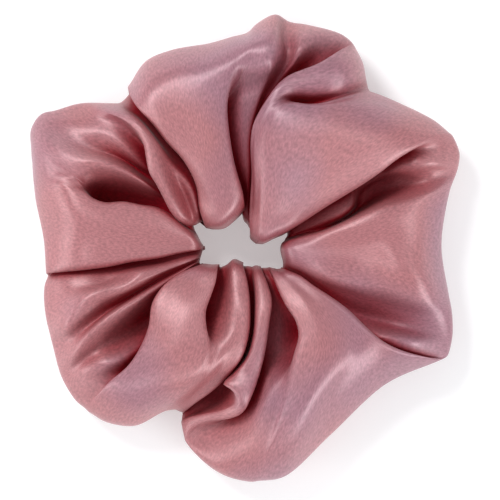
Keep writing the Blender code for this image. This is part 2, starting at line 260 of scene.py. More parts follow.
        (1.6, -4.6, 12.5), (2.1, -9.3, 17.5), (2.2, -15, 19.2), (1.7, -21.5, 19.6), (0.1, -26.6, 19.2),
        (-2.9, -30.3, 19), (-5.8, -33.3, 19.3), (-4.2, -34.2, 20.4), (-2.8, -35.6, 20.8), (-2.7, -38, 20),
        (-5.5, -39.6, 17.5), (-10.5, -40.6, 14.5), (-14.8, -41.8, 11.5), (-16.2, -43, 9.5),
    ],
    "near band crest": [
        (2.6, -4.2, 13.5), (3.6, -8.3, 19), (4.2, -14.5, 21.4), (3.7, -20.5, 22), (2.6, -25.8, 21.8),
        (0.8, -30.4, 21.4), (-0.6, -34.6, 22.2), (-1.2, -38, 21.6), (-4, -40.5, 18.6), (-9.4, -41.4, 15.6),
        (-13.8, -43, 12.5), (-15.8, -45, 9.8),
    ],
    "near band right lip": [
        (3.8, -4.4, 13), (5.6, -8.8, 17.6), (6.5, -12.8, 19.4), (5.8, -18.3, 20), (4.8, -25.3, 20),
        (3.4, -30.8, 20), (1.4, -36.4, 19.6), (-0.8, -40.4, 18.4), (-4, -41.9, 16.4), (-9, -42.6, 14),
        (-13, -44.4, 11.5), (-15.3, -47.4, 9.8),
    ],
    "near band tuck": [
        (3.4, -4.8, 11.4), (4.4, -9.4, 13.9), (4.4, -14, 14), (3.6, -19.5, 13.8), (2.6, -25.5, 13),
        (1.4, -31, 13.4), (-0.6, -36.4, 14), (-3, -40.4, 13.6), (-6.4, -42.8, 12.6), (-10.8, -45.2, 11),
        (-13.4, -50, 9.5),
    ],
    "near eye floor": [
        (4.6, -4.8, 11.8), (6.4, -9, 14), (8, -14, 14), (8.6, -20, 13.8), (7.6, -25.5, 14.6),
        (5.6, -31, 17.8), (3.2, -37, 18), (0.4, -42.6, 17), (-3.2, -47.4, 15.5), (-6.4, -52.6, 13),
        (-8.4, -54.5, 10),
    ],
    "near eye tuck": [
        (5.4, -4.8, 12), (8, -9, 14), (11.4, -14.8, 13.8), (13.8, -20.4, 11.5), (12.4, -26, 14),
        (8.6, -31.4, 19.8), (6, -37, 20.6), (3.2, -44, 19.4), (0.4, -50, 17), (-2.4, -55, 12.8),
        (-3.8, -56.8, 10),
    ],
    "near eye right lip": [
        (6, -4.6, 13.4), (7.4, -8.6, 18), (9.8, -13.6, 20.8), (12.3, -17.4, 22), (13.1, -21.2, 22.4),
        (12, -25.4, 22.4), (10.6, -30.8, 22.2), (9, -37, 22.2), (6.8, -44, 20.8), (4.4, -50.5, 17.8),
        (2.2, -56.2, 13), (1.6, -57.8, 10),
    ],
    "big right ruffle crest": [
        (7.2, -4.8, 14), (10, -8.2, 20), (14.6, -13.4, 23), (17.6, -20, 24.8), (17.6, -27, 25.4),
        (16, -34, 25.2), (13.8, -41, 23.6), (11.8, -48, 20), (10.2, -53.6, 15), (9.5, -56.5, 10.5),
    ],
    "big right ruffle middle": [
        (8, -5, 14.4), (13, -8.8, 19.8), (19, -14, 22.8), (23.5, -20, 24), (24.6, -27, 23.4),
        (23.2, -33.5, 21), (21.8, -40, 17.5), (20.9, -46.2, 10.5),
    ],
    "big right ruffle shoulder": [
        (8.8, -4.9, 14.6), (14, -8, 19.6), (20.5, -12.4, 22), (26.4, -17.6, 23), (30.6, -23, 22.4),
        (33, -28, 19), (34.4, -31.2, 15), (35, -33.3, 10.5),
    ],
    "big right ruffle lip": [
        (9.4, -4.6, 14), (13.4, -6.3, 18), (16.8, -8.8, 19.6), (20.8, -11.4, 20.2), (25.4, -14.8, 20.6),
        (29.9, -19.2, 20.6), (33.8, -22.5, 20), (38.2, -24.7, 18.8), (43.6, -26.3, 16), (47, -27, 13),
        (49.2, -27.1, 10),
    ],
    "big right ruffle tuck": [
        (9, -5.2, 12), (12.2, -8, 13.9), (15.6, -11, 14), (19, -14.2, 13.6), (23, -18.2, 13),
        (27, -22.2, 13), (31.6, -25, 13.8), (37, -26.2, 15), (43, -26.9, 14), (47, -27, 11.8),
        (50.2, -26.4, 9.5),
    ],
    "right ruffle thin ridge": [
        (9.4, -4.8, 12.3), (12.8, -7.4, 14.2), (16.4, -10.4, 14.4), (19.8, -13.6, 14.2), (24, -17.4, 14),
        (28.6, -20, 15.4), (32.6, -21.2, 18.4), (36.6, -22, 19.4), (41.4, -22.9, 18.4), (46, -23.5, 15),
        (49.4, -24, 12), (50.9, -24.5, 10),
    ],
    "right ruffle hollow": [
        (9.6, -4.4, 12.6), (13.2, -6.8, 14.6), (17, -9.6, 14.8), (20.6, -12.4, 14.2), (25, -14.8, 12.4),
        (30, -16.6, 11.4), (35.4, -18.2, 11.8), (41, -19.4, 13), (46.6, -20.4, 13), (50, -21, 11.6),
        (51.5, -21, 10),
    ],
    "right ruffle lower slope": [
        (9.7, -3.8, 13.6), (13.8, -5.6, 16.6), (17.8, -7.8, 17.6), (22, -10, 17), (27.5, -12.2, 15.2),
        (33, -13.8, 14), (39, -15.4, 14.2), (45, -16.6, 14.2), (49.4, -17.4, 12.4), (51.5, -17.6, 10),
    ],
    "right ruffle lower crest": [
        (9.6, -2.8, 14.6), (14.4, -4, 19), (18.6, -5.6, 20.6), (23, -7.4, 20.8), (28.5, -8.6, 20.4),
        (34.4, -9.6, 20.2), (40, -11.4, 19.8), (45.4, -13.2, 17.4), (49.4, -14.2, 13.5),
        (51.2, -14.6, 10.5),
    ],
    "right ruffle middle": [
        (9.2, -1.2, 15.6), (14.8, -1.6, 20.4), (20.5, -2.2, 20.6), (27, -2.6, 20), (33, -3, 20.8),
        (38.5, -5, 21.6), (43, -7.6, 20.6), (47, -9.4, 17), (50.4, -10.4, 10.5),
    ],
    "right ruffle panel": [
        (9, 0.4, 16), (15.5, 0.8, 20.6), (22, 1.2, 20.8), (30, 1.8, 20.8), (36, 2.2, 21.4), (41, 2, 20),
        (45.2, 1.7, 16.4), (48.7, 1.4, 10.5),
    ],
    "right ruffle upper crest": [
        (9.4, 1.8, 14.8), (14.8, 2.6, 19.4), (22.6, 4.8, 21.6), (28.4, 6.2, 22.6), (34.8, 8.2, 22.6),
        (41, 9.8, 20.4), (46, 11.8, 16.6), (49.8, 13.8, 13), (50.8, 14.8, 10.5),
    ],
    "right ruffle upper lip": [
        (10, 2.4, 13.4), (13.4, 3.2, 17.2), (18.8, 4.6, 19), (24.3, 6.9, 19.8), (28.6, 8.8, 20),
        (34, 11, 20), (40.6, 12.6, 19.5), (46.6, 14.4, 17), (50, 16.4, 13.5), (51.5, 16.8, 10.3),
    ],
    "right cavity floor": [
        (10.2, 3, 11.5), (14, 4.2, 13.9), (19.4, 5.4, 14), (25, 8, 12), (29.6, 12, 9.5),
        (34.4, 14.8, 10.5), (40.4, 16.6, 13), (46, 17.6, 14.4), (50, 18.6, 12.2), (52.3, 18.8, 10),
    ],
    "right cavity flap": [
        (10.5, 3.4, 11.8), (14.4, 5, 14.2), (19.2, 7, 15.8), (23.6, 8.6, 17), (26.2, 10.4, 17.2),
        (28.8, 14, 9.6), (33, 16.6, 9.8), (38.4, 18.4, 13.4), (44, 19.4, 15.4), (49, 19.8, 13.8),
        (52.7, 20.2, 10.3),
    ],
    "right cavity back": [
        (10.7, 4, 11.6), (14.2, 6.6, 14.2), (18.6, 9.4, 15.4), (22.6, 11.6, 16.6), (25.8, 13.4, 16.6),
        (28.8, 16.4, 11.4), (33.6, 18.8, 12.5), (38, 20.8, 17), (43.4, 21.6, 19), (48.4, 21.4, 16.5),
        (51.6, 21.6, 13), (53.1, 21.8, 10.5),
    ],
    "right cavity tuck": [
        (10.4, 5, 11.6), (13.2, 8.6, 14), (17.4, 12, 14), (21.8, 15.8, 13.5), (27, 19.6, 12.6),
        (32.4, 22.8, 13.4), (37.8, 24.6, 15.6), (43, 25.2, 17.2), (48, 25.2, 15.2), (51.4, 24.8, 12.4),
        (53.2, 24.2, 10.3),
    ],
    "great ruffle lower lip": [
        (11, 4.9, 14.2), (14.6, 7.2, 17.6), (19.3, 10.3, 19.4), (24, 13.2, 20.2), (28.6, 16, 20.8),
        (33.3, 19.2, 21.2), (37.4, 22.4, 21.4), (41.6, 25, 20.6), (46.6, 27.6, 17.4), (49.8, 28.6, 13.5),
        (51.4, 28.6, 10.5),
    ],
    "great ruffle lower shoulder": [
        (9.6, 4, 16.2), (13.2, 8.2, 20.8), (17.8, 12.4, 22.8), (22.6, 16.4, 23.8), (28, 20.8, 24.4),
        (33.4, 25, 24.4), (38.8, 28.6, 22.6), (43.4, 31, 18), (46, 32.2, 13.5), (46.9, 32.3, 10.5),
    ],
    "great ruffle middle": [
        (7, 2.9, 16.4), (10.6, 9.6, 21.6), (14.8, 16.4, 24.2), (19, 22.6, 25.4), (23.4, 28, 25.6),
        (28, 32, 24), (33, 34.8, 20), (36.4, 36, 15), (38.5, 36.5, 10.5),
    ],
    "great ruffle upper middle": [
        (4.6, 1.8, 16.4), (7, 9, 21.8), (8.8, 17.5, 24.8), (11, 24.5, 26.2), (13.8, 30.4, 26.6),
        (18, 34.2, 25.4), (25, 36.6, 22), (30.4, 37.6, 17), (32.8, 38.4, 13), (33.9, 38.5, 10.5),
    ],
    "great ruffle upper lip": [
        (2.8, 1.9, 15.4), (3.4, 8.5, 20.6), (4, 17, 23.6), (4.4, 25, 25), (6, 31.4, 25.8),
        (8.8, 35.6, 25.6), (11.6, 36.6, 24.4), (15, 36.2, 23.8), (18.6, 36.4, 23.4), (22.6, 37.4, 22),
        (26.6, 38.6, 18.6), (29.4, 39.4, 14.2), (31, 39.5, 10.5),
    ],
    "far eye floor": [
        (2.1, 2.4, 14.2), (2.6, 8.5, 19.4), (3, 17, 22.6), (3.1, 25, 24), (4.6, 31.6, 24.8),
        (7.4, 36.2, 24.8), (10.2, 37.2, 22.2), (12.8, 36.4, 18.4), (16, 36.2, 18.2), (19.8, 37, 19.4),
        (23.6, 38.2, 19.2), (27, 39.4, 16.2), (29.6, 40.2, 12.5), (30.5, 40.2, 9.8),
    ],
    "far eye slope": [
        (1.6, 2.8, 13), (1.9, 8.5, 18.4), (2.2, 17, 21.8), (2.1, 25, 23.2), (3.4, 31.8, 24),
        (6.4, 36.8, 24.4), (9, 38.6, 24.4), (12.4, 38.6, 22.4), (16, 38.4, 21.8), (20, 39.2, 21.8),
        (24.6, 41, 20.6), (28, 42, 16.5), (30, 42.4, 10.5),
    ],
    "far roll crest": [
        (1.2, 3.2, 12.4), (1.3, 8.4, 17.6), (1.7, 17, 21), (1.5, 25, 22.4), (2.4, 31.6, 23.2),
        (5, 36.6, 23.8), (8, 40, 24.4), (12, 41.6, 24), (16.6, 42.4, 23.4), (21, 43.8, 22.6),
        (25, 45.8, 20.2), (27.8, 46.8, 16), (29.1, 46.8, 10.5),
    ],
    "far roll lip": [
        (1, 3.8, 11.5), (0.8, 8.2, 16.6), (1, 12.6, 19), (1.4, 19, 20.6), (1.1, 26, 21.6),
        (1.6, 30.6, 22.3), (3.2, 34.2, 22.6), (5.2, 37.4, 22.8), (7.6, 40.8, 22.8), (10.4, 43.2, 22.6),
        (14.2, 44.8, 22.2), (17.8, 46.2, 21.4), (20.8, 48, 19.8), (23.6, 49.8, 16.6), (26, 50.8, 13),
        (27.2, 50.6, 10.3),
    ],
    "far roll tuck": [
        (2, 4.6, 11.4), (2.6, 8.8, 14), (3.4, 12.6, 14.2), (4.2, 20, 16.6), (4.2, 27, 16.8),
        (6, 32.6, 17), (8.6, 36.6, 17), (11, 40.4, 15.84), (14, 42.6, 15.4), (17.6, 44.2, 15.4),
        (21, 46.2, 14.8), (23.8, 49.2, 13.4), (25.6, 51.4, 11.4), (26, 52.2, 9.6),
    ],
    "far hollow": [
        (1.6, 5.2, 11.4), (2, 9.6, 14), (2.8, 13.6, 14.4), (3.4, 20.5, 17), (3.4, 27.5, 17.2),
        (5, 33.4, 17.4), (7.8, 38, 17.2), (10.8, 42, 15.6), (13.8, 45, 15.6), (16.6, 47, 15.4),
        (19.4, 49.4, 15), (21.6, 51.6, 14), (23, 53.2, 11.8), (23.4, 54, 9.6),
    ],
    "far hollow ridge": [
        (1.3, 5.6, 11.4), (1.5, 10, 14), (2.2, 14.2, 14.67), (2.6, 21, 17.4), (2.6, 28, 17.8),
        (4, 34, 18), (6.6, 39, 17.6), (9.4, 43, 17.6), (11.8, 46.2, 19.6), (13.2, 49.4, 20.6),
        (14.2, 52.6, 18.6), (14.9, 55, 14.5), (15, 56.2, 10.5),
    ],
    "far ruffle crease": [
        (0.8, 6, 11.2), (1, 10.4, 14), (1.6, 14.8, 15.07), (2, 21.5, 17.8), (1.9, 28.5, 18.6),
        (3.2, 34.6, 19), (5.6, 39.8, 18.08), (8.6, 44, 17.4), (10.4, 47, 17.4), (10.2, 50.2, 17),
        (10, 53.2, 14.6), (10.4, 55.6, 11.6), (10.9, 56.9, 9.5),
    ],
}

# The satin's grid: its columns follow one another along the tube, and its rows round the section. The rows
# nearest the hole have no say in how the columns are shared out between the fold lines.
COLUMNS = 720
TOP_ROWS = 50
UNDER_ROWS = 28
RIM_ROWS = 5
SPLINE_STEPS = 16
GRID_SMOOTHING = 0.4

# The strip that the satin is sewn from.
CLOTH_THICKNESS = 0.25 * MM

# How the section turns at its outer edge and at the hole's rim. EDGE_TURN and RIM_TURN are distances in
# millimetres, and the rest are shares of a distance or of a height.
EDGE_TURN = 5.0
EDGE_TURN_SHARE = 0.3
EDGE_TURN_HEIGHT = 0.4
RIM_TURN = 1.5
RIM_TURN_MOST = 0.6
RIM_HEIGHT = 0.72
HOLE_WALL_SHARE = 0.5

# The section underneath: its height beside the edge's turn, then its points on the way in to the hole, as
# (share of the way out, height, share of the folds' rise).
UNDER_EDGE_HEIGHT = 1.2
UNDER_POINTS = ((0.66, 0.52, 1.0), (0.38, 0.62, 0.7), (0.14, 2.0, 0.4))
UNDER_FOLDS = 19
UNDER_FOLD_RISE = 3.2

# A fold line whose name ends with one of these is a hollow. A lip beside one gets a second section: this
# share of the way to the panel's next fold line, and this share of the way to its height.
HOLLOW_NAMES = ("tuck", "floor", "hollow", "crease")
LIP_TURN = 0.16
LIP_HEIGHT = 0.62

# The rays that find how deep in a fold each point of the satin is, for the shade painted into its colour there.
SHADE_RAYS = 14
SHADE_REACH = 0.016
SHADE_LIFT = 0.4 * MM
SHADE_SMOOTHING = 0.7

# The elastic, which lies where the frame's own one does. Its lapped ends have a gap between them.
ELASTIC_LAP = math.radians(32)
ELASTIC_THICKNESS = 1.2 * MM
ELASTIC_LAP_GAP = 0.3 * MM
ELASTIC_SIDE_POINTS = 9
ELASTIC_RIB_PITCH = 0.9 * MM
ELASTIC_RIB_HEIGHT = 0.09 * MM
COLUMNS_PER_RIB = 4

# The sewing thread. A pitch is from one stitch to the next, and a depth is inward from the cloth.
THREAD_RADIUS = 0.16 * MM
SEAM_PITCH = 2.5 * MM
SEAM_STITCH = 0.8 * SEAM_PITCH
SEAM_DEPTH = 1.2 * MM
CLOSING_ARC = (math.radians(200), math.radians(230))
CLOSING_PITCH = 1.8 * MM
CLOSING_STITCH = 0.6 * CLOSING_PITCH
CLOSING_ROW = TOP_ROWS + 2
END_SEAM_COLUMN = COLUMNS // 60
END_SEAM_DEPTH = 0.8 * MM

# The zigzag that joins the elastic's ends. Its stitches are longer than their pitch, so that they touch.
JOIN_CORNERS = 7
JOIN_CORNER_ANGLE = 2.8
JOIN_HEIGHT_SHARE = 0.6
JOIN_REACH = ELASTIC_THICKNESS + 0.3 * MM
JOIN_PITCH = 0.8 * MM
JOIN_STITCH = 0.9 * MM

CAMERA_HEIGHT = 2.5
CAMERA_REACH = 20
VIEW_WIDTH = 0.125
VIEW_CENTRE = (0.001, 0.0)
SENSOR_WIDTH = 36

SATIN = (0.385, 0.142, 0.153)
# A cooler mauve tint, mixed in at random over the satin: painted reflection of cool light in its sheen.
SATIN_PAINTED_MAUVE_REFLECTION = (0.315, 0.142, 0.180)
# The dark red painted as shade deep in the satin's folds and hollows.
SATIN_PAINTED_SHADE = (0.26, 0.006, 0.014)
SATIN_SHADER = {
    "Roughness": 0.45,
    "Anisotropic": 0.8,
    "Specular Tint": (1.0, 0.95, 0.96, 1),
    "Metallic": 0.12,
    "Sheen Weight": 0.08,
    "Sheen Roughness": 0.4,
}
ELASTIC_COLOUR = (0.55, 0.48, 0.46)
ELASTIC_ROUGHNESS = 0.8
ELASTIC_GRAIN = 0.5 * MM
THREAD_COLOUR = (0.36, 0.15, 0.165)
THREAD_ROUGHNESS = 0.55
THREAD_GRAIN = 0.2 * MM
YARN_DARK = 0.75
YARN_LIGHT = 1.2
YARN_BUMP = 0.1 * MM

FLOOR_HALF_WIDTH = 3.0
FLOOR_COLOUR = (0.70, 0.70, 0.705)
FLOOR_ROUGHNESS = 0.9
FLOOR_GLOW = 0.36

# Each light's name, place, width and power. They all face the scrunchie's middle.
LIGHTS = (
    ("key", (-0.5, 0.6, 0.9), 0.4, 8),
    ("right_side", (0.8, -0.65, 0.42), 0.5, 7),
    ("left_side", (-0.9, -0.3, 0.3), 0.5, 3.5),
)
LIGHTS_FACE = (0, 0, 0.01)
WORLD_COLOUR = (0.95, 0.97, 1)
WORLD_STRENGTH = 0.62


# Curves through points

def closed_spline(points, counts):
    """Points along a closed smooth curve through knots, for many curves at once.

    points has the knots along its first axis; counts says how many samples each gap between two knots gets.
    The curve is a centripetal Catmull-Rom one, so that close knots make a tight turn and not a loop.
    """
    total = len(points)
    out = []
    for i in range(total):
        p0, p1, p2, p3 = (points[(i + k) % total] for k in (-1, 0, 1, 2))

        def knot(a, b):
            return np.sqrt(np.maximum(np.linalg.norm(b - a, axis=-1, keepdims=True), 0.2))

        t1 = knot(p0, p1)
        t2 = t1 + knot(p1, p2)
        t3 = t2 + knot(p2, p3)
        for j in range(counts[i]):
            t = t1 + (t2 - t1) * j / counts[i]
            a1 = ((t1 - t) * p0 + t * p1) / t1
            a2 = ((t2 - t) * p1 + (t - t1) * p2) / (t2 - t1)
            a3 = ((t3 - t) * p2 + (t - t2) * p3) / (t3 - t2)
            b1 = ((t2 - t) * a1 + t * a2) / t2
            b2 = ((t3 - t) * a2 + (t - t1) * a3) / (t3 - t1)
            out.append(((t2 - t) * b1 + (t - t1) * b2) / (t2 - t1))
    return np.array(out)


def resampled(line, count):
    """This many points at equal distances along a line, its first one included and its last one left out."""
    run = np.concatenate([[0], np.cumsum(np.linalg.norm(np.diff(line, axis=0), axis=1))])
    wanted = np.linspace(0, run[-1], count + 1)[:-1]
    return np.stack([np.interp(wanted, run, line[:, k]) for k in range(3)], axis=1)


def polar(point):
    return math.hypot(point[0], point[1]), math.atan2(point[1], point[0])


def with_tight_rim(line):
    """A fold line whose inner end rises quickly from the hole, so that the panel beyond it stays flat."""
    first, second = Vector(line[0]), Vector(line[1])
    share = RIM_TURN / (second - first).to_2d().length
    if share > RIM_TURN_MOST:
        return line
    beside = first.lerp(second, share)
    beside.z = first.z + RIM_HEIGHT * (second.z - first.z)
    return [line[0], tuple(beside), *line[1:]]


def fold_section(top, fold_phase):
    """The cloth's whole section along one fold line: over the top, round the edge, under and up the hole."""
    inner_radius, inner_angle = polar(top[0])
    outer_radius, outer_angle = polar(top[-1])
    turn = (outer_angle - inner_angle + math.pi) % (2 * math.pi) - math.pi
    rise = UNDER_FOLD_RISE * (0.5 - 0.5 * math.cos(fold_phase)) ** 2

    def under(share, height):
        """A point under the ring, a share of the way out from the hole to the edge."""
        radius = inner_radius + (outer_radius - inner_radius) * share
        angle = inner_angle + turn * share
        return radius * math.cos(angle), radius * math.sin(angle), height

    turn_share = EDGE_TURN / (outer_radius - inner_radius)
    below = [
        under(1 - EDGE_TURN_SHARE * turn_share, EDGE_TURN_HEIGHT * top[-1][2]),
        under(1 - turn_share, UNDER_EDGE_HEIGHT + rise),
        *(under(share, height + rise_share * rise) for share, height, rise_share in UNDER_POINTS),
        under(0.0, HOLE_WALL_SHARE * top[0][2]),
    ]
    over = with_tight_rim(top)
    knots = np.array(over + below, float)
    line = closed_spline(knots, [SPLINE_STEPS] * len(knots))
    edge = (len(over) - 1) * SPLINE_STEPS
    upper = resampled(line[: edge + 1], TOP_ROWS)
    round_under = resampled(np.concatenate([line[edge:], line[:1]]), UNDER_ROWS)
    return np.concatenate([upper, round_under])


def smoothed(grid, rounds, weight):
    """The grid, with each point drawn a little towards the middle of its neighbours along and across it."""
    for _ in range(rounds):
        along = (np.roll(grid, 1, 0) + np.roll(grid, -1, 0)) / 2
        across = (np.roll(grid, 1, 1) + np.roll(grid, -1, 1)) / 2
        grid = grid + weight * ((along + across) / 2 - grid)
    return grid


def with_tight_lips(names, sections):
    """The sections, with one more beside each lip, so that the panel stays flat and turns under sharply."""
    out = []
    for i, name in enumerate(names):
        before, after = sections[i - 1], sections[(i + 1) % len(names)]
        hollow_before = names[i - 1].endswith(HOLLOW_NAMES)
        hollow_after = names[(i + 1) % len(names)].endswith(HOLLOW_NAMES)
        own = sections[i]
        is_lip = name.endswith("lip") and hollow_before != hollow_after
        panel = after if hollow_before else before
        beside = own + LIP_TURN * (panel - own)
        beside[:TOP_ROWS, 2] = (own + LIP_HEIGHT * (panel - own))[:TOP_ROWS, 2]
        if is_lip and hollow_after:
            out.append(beside)
        out.append(own)
        if is_lip and hollow_before:
            out.append(beside)
    return np.array(out)


def satin_grid():
    """The cloth's points, as columns along the tube by rows round its section, in metres."""
    names = list(FOLD_LINES)
    lines = list(FOLD_LINES.values())
    phases = [2 * math.pi * UNDER_FOLDS * i / len(lines) for i in range(len(lines))]
    sections = [fold_section(line, phase) for line, phase in zip(lines, phases)]
    sections = with_tight_lips(names, sections)
    gaps = np.linalg.norm(np.roll(sections, -1, 0) - sections, axis=2)[:, RIM_ROWS:TOP_ROWS].mean(axis=1)
    gaps = np.maximum(gaps, 1.0)
    ends = np.round(np.cumsum(gaps) / gaps.sum() * COLUMNS).astype(int)
    counts = np.diff(np.concatenate([[0], ends]))
    grid = closed_spline(sections, counts)
    return smoothed(grid, 1, GRID_SMOOTHING) * MM


def shade_of(obj, grid):
    """How much of the space round each point is taken by the cloth near it, from 0 to 1: where the satin gets
    painted shade.
    """
    tree = BVHTree.FromPolygons([v.co for v in obj.data.vertices], [f.vertices for f in obj.data.polygons])
    golden = math.pi * (3 - math.sqrt(5))
    rays = []
    for k in range(SHADE_RAYS):
        up = math.sqrt(1 - (k + 0.5) / SHADE_RAYS)
        side = math.sqrt(1 - up * up)
        rays.append((side * math.cos(k * golden), side * math.sin(k * golden), up))
    shade = np.zeros(len(obj.data.vertices))
    for i, vertex in enumerate(obj.data.vertices):
        turn = Vector((0, 0, 1)).rotation_difference(vertex.normal)
        start = vertex.co + SHADE_LIFT * vertex.normal
        for ray in rays:
            reach = tree.ray_cast(start, turn @ Vector(ray), SHADE_REACH)[3]
            if reach is not None:
                shade[i] += 1 - 0.5 * reach / SHADE_REACH
    shade = shade.reshape(grid.shape[:2]) / SHADE_RAYS
    return smoothed(shade, 3, SHADE_SMOOTHING)


# Meshes

def mesh_object(name, points, faces, smooth=True):
    mesh = bpy.data.meshes.new(name)
    mesh.from_pydata([tuple(p) for p in points], [], faces)
    mesh.validate()
    mesh.update()
    if smooth:
        mesh.shade_smooth()
    obj = bpy.data.objects.new(name, mesh)
    bpy.context.scene.collection.objects.link(obj)
    return obj


def wrapped_grid(name, grid):
    """A mesh object of a grid that closes on itself both ways, with its UV map in metres along and across."""
    columns, rows = grid.shape[:2]
    faces = []
    for i in range(columns):
        j = (i + 1) % columns
        for k in range(rows):
            m = (k + 1) % rows
            faces.append((i * rows + k, i * rows + m, j * rows + m, j * rows + k))
    obj = mesh_object(name, grid.reshape(-1, 3), faces)
    length = np.linalg.norm(np.roll(grid, -1, 0) - grid, axis=2).mean(axis=1)
    along = np.concatenate([[0], np.cumsum(length)])
    width = np.linalg.norm(np.roll(grid, -1, 1) - grid, axis=2).mean(axis=0)
    across = np.concatenate([[0], np.cumsum(width)])
    layer = obj.data.uv_layers.new(name="cloth")
    coordinates = []
    for i in range(columns):
        for k in range(rows):
            corners = ((i, k), (i, k + 1), (i + 1, k + 1), (i + 1, k))
            coordinates += [value for a, b in corners for value in (along[a], across[b])]
    layer.data.foreach_set("uv", coordinates)
    attribute = obj.data.attributes.new("shade", "FLOAT", "POINT")
    attribute.data.foreach_set("value", shade_of(obj, grid).reshape(-1))
    return obj


def apply_modifiers(obj):
    graph = bpy.context.evaluated_depsgraph_get()
    mesh = bpy.data.meshes.new_from_object(obj.evaluated_get(graph), depsgraph=graph)
    obj.modifiers.clear()
    obj.data = mesh


# Materials

def new_material(name):
    material = bpy.data.materials.new(name)
    material.use_nodes = True
    return material, material.node_tree.nodes, material.node_tree.links


def satin_material():
    material, nodes, links = new_material("dusty_rose_satin")
    shader = nodes["Principled BSDF"]
    for socket, value in SATIN_SHADER.items():
        shader.inputs[socket].default_value = value

    def node(kind, **values):
        made = nodes.new("ShaderNode" + kind)
        for key, value in values.items():
            made.inputs[key.replace("_", " ")].default_value = value
        return made

    def mixed(factor, first, second):
        made = nodes.new("ShaderNodeMix")
        made.data_type = "RGBA"
        links.new(factor, made.inputs["Factor"])
        for socket, colour in (("A", first), ("B", second)):
            if isinstance(colour, tuple):
                made.inputs[socket].default_value = (*colour, 1)
            else:
                links.new(colour, made.inputs[socket])
        return made.outputs["Result"]

    place = nodes.new("ShaderNodeTexCoord")
    cloth = nodes.new("ShaderNodeUVMap")
    cloth.uv_map = "cloth"
    # Painted reflection: a noise mixes the cool mauve tint of the sheen's reflection into the satin's colour at
    # random places.
    reflection_drift = node("TexNoise", Scale=32.0, Detail=1.5)
    links.new(place.outputs["Object"], reflection_drift.inputs["Vector"])
    reflection_drift_range = node("MapRange", From_Min=0.46, From_Max=0.66)
    links.new(reflection_drift.outputs["Fac"], reflection_drift_range.inputs["Value"])
    tone = mixed(reflection_drift_range.outputs["Result"], SATIN, SATIN_PAINTED_MAUVE_REFLECTION)

    # Painted shade: deep in a fold, the satin's colour turns a dark red and its gloss dims, by how shut in the
    # point is.
    shade = nodes.new("ShaderNodeAttribute")
    shade.attribute_name = "shade"
    shade_range = node("MapRange", From_Min=0.06, From_Max=0.72, To_Max=1.0)
    links.new(shade.outputs["Fac"], shade_range.inputs["Value"])
    tone = mixed(shade_range.outputs["Result"], tone, SATIN_PAINTED_SHADE)
    painted_shade_gloss = node("MapRange", To_Min=0.95, To_Max=0.1)
    links.new(shade_range.outputs["Result"], painted_shade_gloss.inputs["Value"])
    links.new(painted_shade_gloss.outputs["Result"], shader.inputs["Specular IOR Level"])

    stretch = node("Mapping", Scale=(2600.0, 900.0, 1.0))
    links.new(cloth.outputs["UV"], stretch.inputs["Vector"])
    yarn = node("TexNoise", Scale=1.0, Detail=2.0, Roughness=0.6)
    links.new(stretch.outputs["Vector"], yarn.inputs["Vector"])
    grain_range = node("MapRange", From_Min=0.3, From_Max=0.7, To_Min=0.76, To_Max=1.24)
    links.new(yarn.outputs["Fac"], grain_range.inputs["Value"])
    grained = nodes.new("ShaderNodeVectorMath")
    grained.operation = "SCALE"
    links.new(tone, grained.inputs["Vector"])
    links.new(grain_range.outputs["Result"], grained.inputs["Scale"])
    links.new(grained.outputs["Vector"], shader.inputs["Base Color"])

    bump = node("Bump", Strength=0.35, Distance=0.00008)
    links.new(yarn.outputs["Fac"], bump.inputs["Height"])
    links.new(bump.outputs["Normal"], shader.inputs["Normal"])
    tangent = nodes.new("ShaderNodeTangent")
    tangent.direction_type = "UV_MAP"
    tangent.uv_map = "cloth"
    links.new(tangent.outputs["Tangent"], shader.inputs["Tangent"])
    return material


def plain_yarn_material(name, colour, roughness, pitch):
    """Matt yarn, with a fine twist in its colour and surface."""
    material, nodes, links = new_material(name)
    shader = nodes["Principled BSDF"]
    shader.inputs["Roughness"].default_value = roughness
    place = nodes.new("ShaderNodeTexCoord")
    twist = nodes.new("ShaderNodeTexNoise")
    twist.inputs["Scale"].default_value = 1 / pitch
    links.new(place.outputs["Object"], twist.inputs["Vector"])
    mix = nodes.new("ShaderNodeMix")
    mix.data_type = "RGBA"
    mix.inputs["A"].default_value = (*[YARN_DARK * c for c in colour], 1)
    mix.inputs["B"].default_value = (*[YARN_LIGHT * c for c in colour], 1)
    links.new(twist.outputs["Fac"], mix.inputs["Factor"])
    links.new(mix.outputs["Result"], shader.inputs["Base Color"])
    bump = nodes.new("ShaderNodeBump")
    bump.inputs["Strength"].default_value = 0.5
    bump.inputs["Distance"].default_value = YARN_BUMP
    links.new(twist.outputs["Fac"], bump.inputs["Height"])
    links.new(bump.outputs["Normal"], shader.inputs["Normal"])
    return material


# Pieces

def finish_piece(obj, slot, *nodes):
    """The piece's place is baked into its mesh, and it stands for its own plain solids, which are hidden."""
    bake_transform(obj)
    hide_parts(*nodes)


def make_cover(grid):
    cover = wrapped_grid("satin_cover", grid)
    wall = cover.modifiers.new("cloth_thickness", "SOLIDIFY")
    wall.thickness = CLOTH_THICKNESS
    wall.offset = -1
    apply_modifiers(cover)
    cover.data.materials.append(satin_material())
    finish_piece(cover, "satin", "satin_cover_left", "satin_cover_right")


def elastic_frame():
    """(mean radius, mean height, half width) of the elastic, read from the frame."""
    low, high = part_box("elastic_band_left")
    return (high.y - low.y) / 2 - ELASTIC_THICKNESS / 2, (low.z + high.z) / 2, (high.z - low.z) / 2


